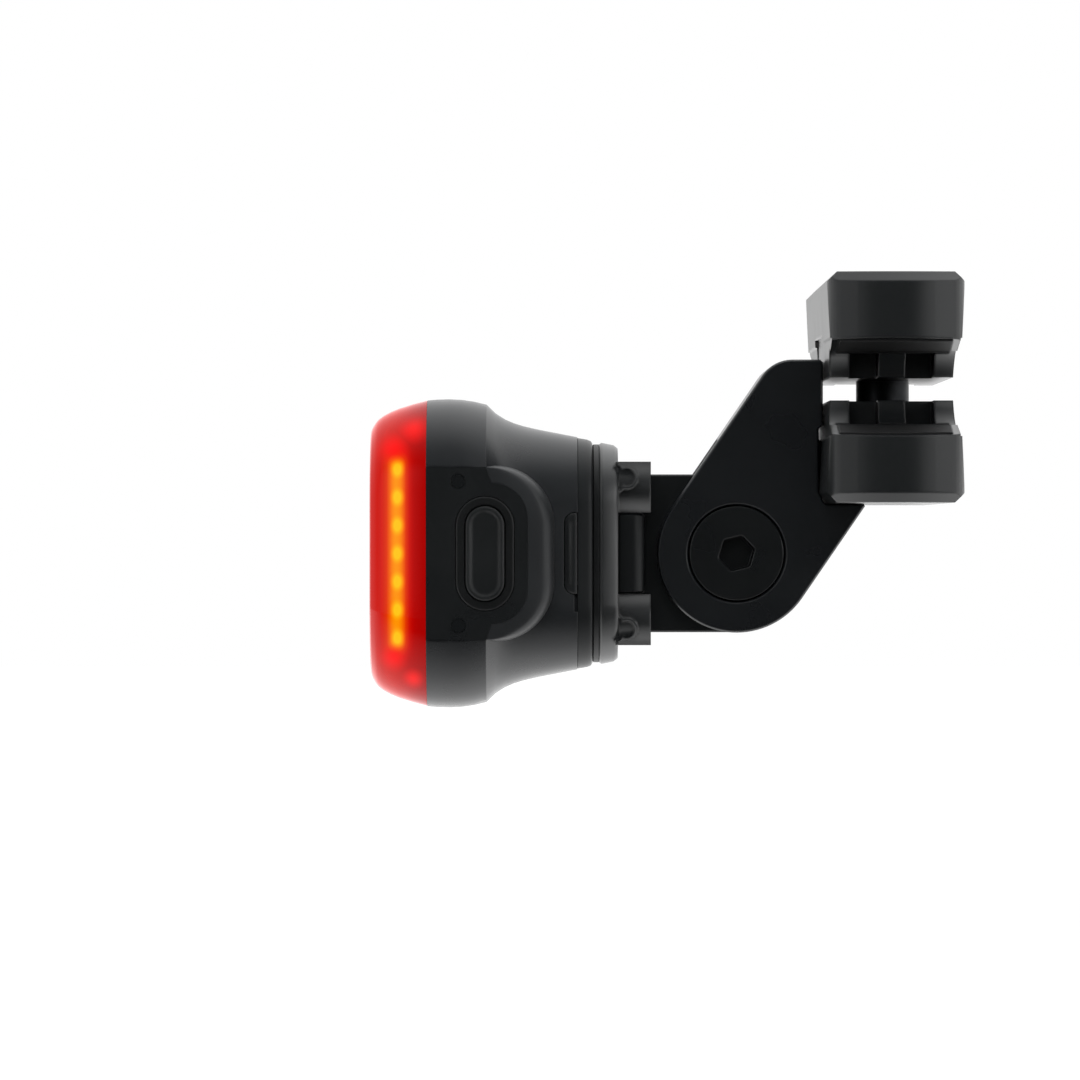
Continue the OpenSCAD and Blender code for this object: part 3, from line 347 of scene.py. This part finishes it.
status = {
    # smoked acrylic: two small dots that are glossier and darker than the panel
    "finish": {"colour": "#151718", "rough": 0.2, "grain": 0.5, "height": 0.0004, "tone": 0.02,
               "gloss": 0.02, "soft": 0.1},
}
wear("status_windows", grainedMaterial("smokedStatusAcrylic", **status["finish"]))

shoulder = {
    "crease": -49.4,  # mm along the light, where the shell starts to narrow
    "front": -56.7,  # mm along the light
    "half": 10.5,  # mm, half the height of the outline
    "reach": (12.4, 14.6),  # mm from the front to the inner line and to the outline
    "corner": (4.4, 7.2),  # mm, corner radius of the two
    "narrow": 1.9,  # mm that the inner line lies inside the outline
    "flank": 0.3,  # share of that slant which the wall under the shell keeps
    # share of the way from the inner line to the outline and depth there in mm: a slow slope,
    # an edge rolled over 1 mm, and a wall that runs in under the shell
    "profile": [(-0.1, -18.6), (-0.02, -19.0), (0.05, -18.99), (0.3, -18.92), (0.6, -18.82),
                (0.8, -18.74), (0.92, -18.65), (1.0, -18.54), (1.09, -18.38), (1.18, -18.18),
                (1.27, -17.88), (1.34, -17.5), (1.4, -17.0), (1.435, -16.4), (1.455, -15.7),
                (1.47, -15.0), (1.48, -13.8)],
    "level": -19.0,  # mm, depth of the face that the slope leaves
    "edge": -18.5,  # mm, depth of the slope's outer edge
    "run": 4.0,  # mm behind the crease where the slope is complete
    "steps": 16,  # round each corner
    "thick": 0.3,  # mm
    # the shell's blend with a coarser texture, so the rolled edge gleams softly
    "finish": {"colour": "#1e2022", "rough": 0.48, "grain": 0.12, "height": 0.0012},
}


def shoulderRing(look, share, depth):
    reach = look["reach"][0] + (look["reach"][1] - look["reach"][0]) * share
    corner = look["corner"][0] + (look["corner"][1] - look["corner"][0]) * min(share, 1.0)
    half = look["half"] - look["narrow"] * (1 - share) * (1 if share < 1 else look["flank"])
    middle = look["front"] + reach - corner
    upper = [(look["crease"], look["half"])]
    for step in range(look["steps"] + 1):
        angle = radians(90 * (1 - step / look["steps"]))
        upper.append((middle + corner * cos(angle), half - corner + corner * sin(angle)))
    outline = upper + [(x, -z) for x, z in reversed(upper)]
    # the slope starts level with the shell at the crease, and is smoothly complete after the run
    slope = min(depth, look["edge"]) - look["level"] if share > 0 else 0
    slope *= 1 - max(share - 1, 0) / (look["profile"][-1][0] - 1)
    ring = []
    for x, z in outline:
        done = min(max((x - look["crease"]) / look["run"], 0), 1)
        done = done * done * (3 - 2 * done)
        ring.append((x * mm, (depth - slope * (1 - done)) * mm, (lightAxis + z) * mm))
    return ring


# The slope between the panel's face and its outline, from the crease round the back
def shoulderStrip(name, look):
    rings = [shoulderRing(look, share, depth) for share, depth in look["profile"]]
    form = bmesh.new()
    rows = [[form.verts.new(point) for point in ring] for ring in rings]
    for inner, outer in zip(rows, rows[1:]):
        for step in range(len(inner) - 1):
            form.faces.new((inner[step], inner[step + 1], outer[step + 1], outer[step]))
    bmesh.ops.remove_doubles(form, verts=form.verts, dist=weldGap * mm)
    for face in form.faces:
        face.smooth = True
    mesh = bpy.data.meshes.new(name)
    form.to_mesh(mesh)
    form.free()
    strip = bpy.data.objects.new(name, mesh)
    bpy.context.scene.collection.objects.link(strip)
    depth = strip.modifiers.new("depth", "SOLIDIFY")
    depth.thickness = look["thick"] * mm
    depth.offset = -1.0
    return strip


panelShoulder = shoulderStrip("panelShoulder", shoulder)
panelShoulder.data.materials.append(
    grainedMaterial("sparkedPolycarbonateSlope", **shoulder["finish"]))
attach(panelShoulder, "light")
print("shell dressed")

# Lens: tinted shell with painted glow where the side LEDs stand behind it: their light is painted
# on the lens as emission
lens = {
    "edge": {"radius": 0.12, "fromAngle": 35},
    "centre": (-60.15, 0.0, lightAxis),  # mm, middle of the LED columns
    "pitch": 3.43,  # mm between LEDs
    "rows": 7,  # LEDs in each column
    # mm along the axis and in height that one LED's spot of painted glow reaches, and its share of
    # the light
    "dot": (1.15, 1.5, 0.3),
    # mm along the axis where the painted orange glow starts to fade and where it ends, and its
    # share
    "column": (0.1, 2.2, 0.54),
    "ends": 1.2,  # mm that the column fades over, to both sides of its ends
    # mm along the axis from the painted light red of the front to the painted dark red at the seam,
    # and its share
    "ground": (-1.0, 3.4, 0.3),
    "sides": (12.5, 15.5),  # mm from the middle plane, where the glow sets in
    # painted glints: bright red spots of glow painted past the ends of the column: place along the
    # axis and in height, and reach, in mm
    "paintedSpots": [(1.8, 15.4, 2.6), (-0.6, 12.9, 2.6), (1.8, -15.4, 1.7), (-0.6, -12.7, 2.2)],
    # share of painted glow -> its colour
    "glow": [(0.0, "#9c0101"), (0.15, "#b40401"), (0.3, "#c61306"), (0.5, "#dc3701"),
             (0.66, "#f06c01"), (0.78, "#f99102"), (0.92, "#ffb60c"), (1.0, "#ffcd14")],
    "paintedSpotRed": "#fb0604",
    "body": "#4a0302",  # what lamps find under the glow
    "through": "#e01008",
    "solid": 0.92,  # share that hides what lies behind the lens
    "ripple": (0.5, 0.001),  # mm, width and height
    "finish": {"Roughness": 0.07, "IOR": 1.58, "Specular IOR Level": 0.15},
}


# Red polycarbonate, moulded in a polished tool, with the LEDs' light painted on as emission: a
# painted red glow everywhere, orange along the LED column, yellow at each LED
def lensPaintedGlowMaterial(name, look):
    material, tree = startMaterial(name)
    place = addNode(tree, "ShaderNodeTexCoord").outputs["Object"]
    shift = addNode(tree, "ShaderNodeVectorMath", {
        0: place, 1: [-value * mm for value in look["centre"]]}, operation="ADD")
    parts = addNode(tree, "ShaderNodeSeparateXYZ", {"Vector": shift})
    away = {axis: addNode(tree, "ShaderNodeMath", {0: parts.outputs[axis]}, operation="ABSOLUTE")
            for axis in "XYZ"}
    # one cell for each LED, with the distance from its middle
    far = 1000 * mm
    half = look["pitch"] / 2 * mm
    cell = addNode(tree, "ShaderNodeVectorMath", {
        0: shift, 1: (far, far, half), 2: (-far, -far, -half)}, operation="WRAP")
    dot = addNode(tree, "ShaderNodeVectorMath", {
        0: cell, 1: (1 / look["dot"][0], 0, 1 / look["dot"][1])}, operation="MULTIPLY")
    dot = addNode(tree, "ShaderNodeVectorMath", {0: dot}, operation="LENGTH")
    # each painted light is full inside its first distance and gone beyond its second, in mm
    reach = look["rows"] * look["pitch"] / 2
    lights = {
        "dot": (dot.outputs["Value"], 0.0, 1.0, look["dot"][2]),
        "column": (away["X"], *look["column"]),
        "rows": (away["Z"], reach - look["ends"], reach + look["ends"], 1.0),
        "middle": (away["Y"], *look["sides"], 1.0),
        "ground": (parts.outputs["X"], *look["ground"]),
    }
    for spotX, spotZ, spotReach in look["paintedSpots"]:
        spot = addNode(tree, "ShaderNodeVectorMath", {
            0: shift, 1: (-spotX * mm, 0, -spotZ * mm)}, operation="ADD")
        spot = addNode(tree, "ShaderNodeVectorMath", {0: spot, 1: (1, 0, 1)}, operation="MULTIPLY")
        spot = addNode(tree, "ShaderNodeVectorMath", {0: spot}, operation="LENGTH")
        lights[(spotX, spotZ)] = (spot.outputs["Value"], 0.0, spotReach, 1.0)
    for lightName, (value, inner, outer, top) in lights.items():
        lights[lightName] = addNode(tree, "ShaderNodeMapRange", {
            "Value": value, **dict(zip(spanSockets, (inner * mm, outer * mm, top, 0.0)))},
            interpolation_type="SMOOTHSTEP")
    sides = addNode(tree, "ShaderNodeMath", {0: 1.0, 1: lights["middle"]}, operation="SUBTRACT")
    where = addNode(tree, "ShaderNodeMath", {0: sides, 1: lights["rows"]}, operation="MULTIPLY")
    lit = addNode(tree, "ShaderNodeMath", {0: lights["dot"], 1: lights["column"]}, operation="ADD")
    lit = addNode(tree, "ShaderNodeMath", {0: lit, 1: where}, operation="MULTIPLY")
    lit = addNode(tree, "ShaderNodeMath", {0: lit, 1: lights["ground"]}, operation="ADD")
    tint = addNode(tree, "ShaderNodeValToRGB", {"Fac": lit})
    setRamp(tint, look["glow"])
    # painted bright red spots of glow past the column's ends, mixed into the painted glow
    paintedSpots = 0.0
    for spotX, spotZ, spotReach in look["paintedSpots"]:
        paintedSpots = addNode(tree, "ShaderNodeMath", {0: lights[(spotX, spotZ)], 1: paintedSpots},
                        operation="MAXIMUM")
    paintedSpots = addNode(tree, "ShaderNodeMath", {0: paintedSpots, 1: sides}, operation="MULTIPLY")
    light = addNode(tree, "ShaderNodeMix", {
        "Factor": paintedSpots, 6: tint, 7: toLinear(look["paintedSpotRed"])}, data_type="RGBA")
    width, height = look["ripple"]
    ripple = addNode(tree, "ShaderNodeTexNoise", {
        "Vector": place, "Scale": 1 / (width * mm), "Detail": 2.0})
    relief = addNode(tree, "ShaderNodeBump", {
        "Height": ripple, "Strength": 1.0, "Distance": height * mm})
    # the painted glow is emitted by the lens itself, though the lens is no lamp
    surface = addNode(tree, "ShaderNodeBsdfPrincipled", {
        "Base Color": toLinear(look["body"]), "Emission Color": light.outputs[2],
        "Emission Strength": 1.0, "Normal": relief, **look["finish"]})
    through = addNode(tree, "ShaderNodeBsdfTransparent", {"Color": toLinear(look["through"])})
    mixed = addNode(tree, "ShaderNodeMixShader", {0: look["solid"], 1: through, 2: surface})
    addNode(tree, "ShaderNodeOutputMaterial", {"Surface": mixed})
    return material


softenEdges("lens", **lens["edge"])
wear("lens", lensPaintedGlowMaterial("tintedLensPaintedGlow", lens))

window = {
    "edge": {"radius": 0.15},
    # smoked polycarbonate, polished: almost black and mirror-smooth
    "finish": {"colour": "#0a0304", "rough": 0.08, "grain": 0.6, "height": 0.0004, "tone": 0.02,
               "gloss": 0.02},
}
softenEdges("front_window", **window["edge"])
wear("front_window", grainedMaterial("smokedWindowPolycarbonate", **window["finish"]))
print("lens dressed")

# Inside: boards, LEDs, reflector, battery
insideEdge = {"radius": 0.05}
inside = {
    # solder mask in white, printed and cured: it throws the LEDs' light back
    "whiteSolderMask": {
        "pieces": ("led_board", "side_led_boards"),
        "finish": {"colour": "#d8dadc", "rough": 0.4, "grain": 0.3, "height": 0.002}},
    # clear LED caps over yellow phosphor
    "ledPhosphor": {
        "pieces": ("front_leds",),
        "finish": {"colour": "#f0d890", "rough": 0.3, "grain": 0.1, "height": 0.001}},
    # metallised plastic cups: pale mirrors
    "metallisedReflector": {
        "pieces": ("reflector",),
        "finish": {"colour": "#d8dadc", "rough": 0.12, "grain": 0.4, "height": 0.0006,
                   "Metallic": 1.0}},
    # amber chips that are lit
    "litAmberChip": {
        "pieces": ("side_leds",),
        "finish": {"colour": "#ffb020", "rough": 0.3, "grain": 0.1, "height": 0.001,
                   "Emission Color": toLinear("#ff9a10"), "Emission Strength": 3.0}},
    # green solder mask, slightly uneven over its copper
    "greenSolderMask": {
        "pieces": ("main_board",),
        "finish": {"colour": "#1f4a33", "rough": 0.35, "grain": 0.6, "height": 0.01,
                   "tone": 0.15, "drift": 1.2}},
    # tinned steel of the switch and the socket: pale grey metal
    "tinnedSwitchSteel": {
        "pieces": ("tact_switch",),
        "finish": {"colour": "#8c8f91", "rough": 0.3, "grain": 0.1, "height": 0.002,
                   "Metallic": 1.0}},
    "tinnedSocketSteel": {
        "pieces": ("charge_port",),
        "finish": {"colour": "#a8abad", "rough": 0.28, "grain": 0.1, "height": 0.002,
                   "Metallic": 1.0}},
    # shrink wrap drawn tight over the cell
    "shrinkWrap": {
        "pieces": ("battery",),
        "finish": {"colour": "#5b6f86", "rough": 0.25, "grain": 0.8, "height": 0.01}},
}
for materialName, item in inside.items():
    material = grainedMaterial(materialName, **item["finish"])
    for nodeName in item["pieces"]:
        softenEdges(nodeName, **insideEdge)
        wear(nodeName, material)
print("inside dressed")

# Studio: a pale paper floor in a white tent that is open, and so dark, towards the camera. The
# tent's spans run over a part of the direction, X to the right, Y away from the camera and Z up.
studio = {
    "floorDrop": 100.0,  # mm below the rails
    "floorHalf": 3000.0,  # mm
    "paper": "#e6e6e6",
    "glow": (0.1, 1.0, 0.15, 0.75),  # of the paper, over metres from the object
    "mirrored": (-0.55, -0.05, 0.0, 1.75),  # of the paper in gloss, over Y to a spot on it
    "open": (-0.85, 0.05, 0.02, 1.0),  # over Y
    "lensSide": (-0.9, 0.2, 0.55, 1.0),  # over X
    "overhead": (0.3, 1.0, 1.0, 1.4),  # over Z
    "rim": (-0.2, 0.5, 1.0, 1.35),  # over Y, in gloss only
    "fill": 0.6,  # share of the tent's level that falls on matt surfaces
    "boxes": [(0.45, 0.68, 0.0, 1.9), (-0.42, -0.66, 0.0, 0.9)],  # over X
    "boxHeight": (0.3, 0.7, 1.0, 0.0),  # over Z up or down
    "boxFront": (-0.5, 0.2, 1.0, 0.0),  # over Y
}
bpy.ops.mesh.primitive_plane_add(size=2 * studio["floorHalf"] * mm,
                                 location=(0, 0, -studio["floorDrop"] * mm))
floor = bpy.context.object
floor.name = "paperFloor"
paper, tree = startMaterial("paleFloorPaper")
path = addNode(tree, "ShaderNodeLightPath").outputs
seen = addNode(tree, "ShaderNodeMath", {
    0: path["Is Camera Ray"], 1: path["Is Transmission Ray"]}, operation="MAXIMUM")
spot = addNode(tree, "ShaderNodeTexCoord").outputs["Object"]
away = addNode(tree, "ShaderNodeVectorMath", {0: spot}, operation="LENGTH").outputs["Value"]
spot = addNode(tree, "ShaderNodeSeparateXYZ", {"Vector": spot})
# the paper mirrors dark towards the camera, as the tent does
reach = addNode(tree, "ShaderNodeMath", {0: away, 1: studio["floorDrop"] * mm}, operation="ADD")
turn = addNode(tree, "ShaderNodeMath", {0: spot.outputs["Y"], 1: reach}, operation="DIVIDE")
mirrored = addNode(tree, "ShaderNodeMapRange", {
    "Value": turn, **dict(zip(spanSockets, studio["mirrored"]))})
mirrored = addNode(tree, "ShaderNodeMath", {0: path["Is Glossy Ray"], 1: mirrored},
                   operation="MULTIPLY")
# near the object the lamps light the paper themselves, so it needs less glow there to be white
level = addNode(tree, "ShaderNodeMapRange", {
    "Value": away, **dict(zip(spanSockets, studio["glow"]))})
level = addNode(tree, "ShaderNodeMath", {0: seen, 1: level}, operation="MULTIPLY")
level = addNode(tree, "ShaderNodeMath", {0: level, 1: mirrored}, operation="MAXIMUM")
glow = addNode(tree, "ShaderNodeEmission", {"Color": (1, 1, 1, 1), "Strength": level})
matt = addNode(tree, "ShaderNodeBsdfDiffuse", {"Color": toLinear(studio["paper"])})
both = addNode(tree, "ShaderNodeAddShader", {0: matt, 1: glow})
# what glossy surfaces mirror is the paper's glow alone, so that nothing pale shows in front
both = addNode(tree, "ShaderNodeMixShader", {0: path["Is Glossy Ray"], 1: both, 2: glow})
addNode(tree, "ShaderNodeOutputMaterial", {"Surface": both})
floor.data.materials.append(paper)

world = bpy.data.worlds.new("studioWorld")
bpy.context.scene.world = world
world.use_nodes = True
tree = world.node_tree
tree.nodes.clear()
path = addNode(tree, "ShaderNodeLightPath").outputs
seen = addNode(tree, "ShaderNodeMath", {
    0: path["Is Camera Ray"], 1: path["Is Transmission Ray"]}, operation="MAXIMUM")
aim = addNode(tree, "ShaderNodeTexCoord").outputs["Generated"]
aim = addNode(tree, "ShaderNodeSeparateXYZ", {"Vector": aim}).outputs
tent = addNode(tree, "ShaderNodeMapRange", {
    "Value": aim["Y"], **dict(zip(spanSockets, studio["open"]))}, interpolation_type="SMOOTHSTEP")
matt = addNode(tree, "ShaderNodeMapRange", {
    "Value": path["Is Glossy Ray"], "To Min": studio["fill"], "To Max": 1.0})
# the tent is dimmer on the lens's side and brighter overhead
side = addNode(tree, "ShaderNodeMapRange", {
    "Value": aim["X"], **dict(zip(spanSockets, studio["lensSide"]))})
over = addNode(tree, "ShaderNodeMapRange", {
    "Value": aim["Z"], **dict(zip(spanSockets, studio["overhead"]))})
# and brightest just behind the object, where rounded edges find it
rim = addNode(tree, "ShaderNodeMapRange", {
    "Value": aim["Y"], **dict(zip(spanSockets, studio["rim"]))}, interpolation_type="SMOOTHSTEP")
rim = addNode(tree, "ShaderNodeMix", {"Factor": path["Is Glossy Ray"], "A": 1.0, "B": rim})
for share in (matt, side, over, rim):
    tent = addNode(tree, "ShaderNodeMath", {0: tent, 1: share}, operation="MULTIPLY")
# two tall soft boxes beside the camera, which only the curved faces mirror
height = addNode(tree, "ShaderNodeMath", {0: aim["Z"]}, operation="ABSOLUTE")
for across in studio["boxes"]:
    box = path["Is Glossy Ray"]
    limits = ((aim["X"], across), (height, studio["boxHeight"]), (aim["Y"], studio["boxFront"]))
    for value, span in limits:
        limit = addNode(tree, "ShaderNodeMapRange", {
            "Value": value, **dict(zip(spanSockets, span))}, interpolation_type="SMOOTHSTEP")
        box = addNode(tree, "ShaderNodeMath", {0: box, 1: limit}, operation="MULTIPLY")
    tent = addNode(tree, "ShaderNodeMath", {0: tent, 1: box}, operation="MAXIMUM")
level = addNode(tree, "ShaderNodeMath", {0: seen, 1: tent}, operation="MAXIMUM")
sky = addNode(tree, "ShaderNodeBackground", {"Color": (1, 1, 1, 1), "Strength": level})
addNode(tree, "ShaderNodeOutputWorld", {"Surface": sky})

lampTarget = Vector((-25.0, 0.0, -12.0)) * mm
lamps = {
    # place and size in mm, power in W
    "topBox": {"place": (-40, 40, 420), "size": (560, 420), "power": 2.2},
    "frontFill": {"place": (-60, -560, 260), "size": (400, 400), "power": 1.8},
}
for name, look in lamps.items():
    lampData = bpy.data.lights.new(name, "AREA")
    lampData.shape = "RECTANGLE"
    lampData.size, lampData.size_y = [value * mm for value in look["size"]]
    lampData.energy = look["power"]
    lamp = bpy.data.objects.new(name, lampData)
    lamp.location = [value * mm for value in look["place"]]
    lamp.rotation_euler = (lampTarget - lamp.location).to_track_quat("-Z", "Y").to_euler()
    lamp.visible_glossy = False  # the tent is what gloss mirrors
    lamp.visible_camera = False
    bpy.context.scene.collection.objects.link(lamp)
print("studio lit")
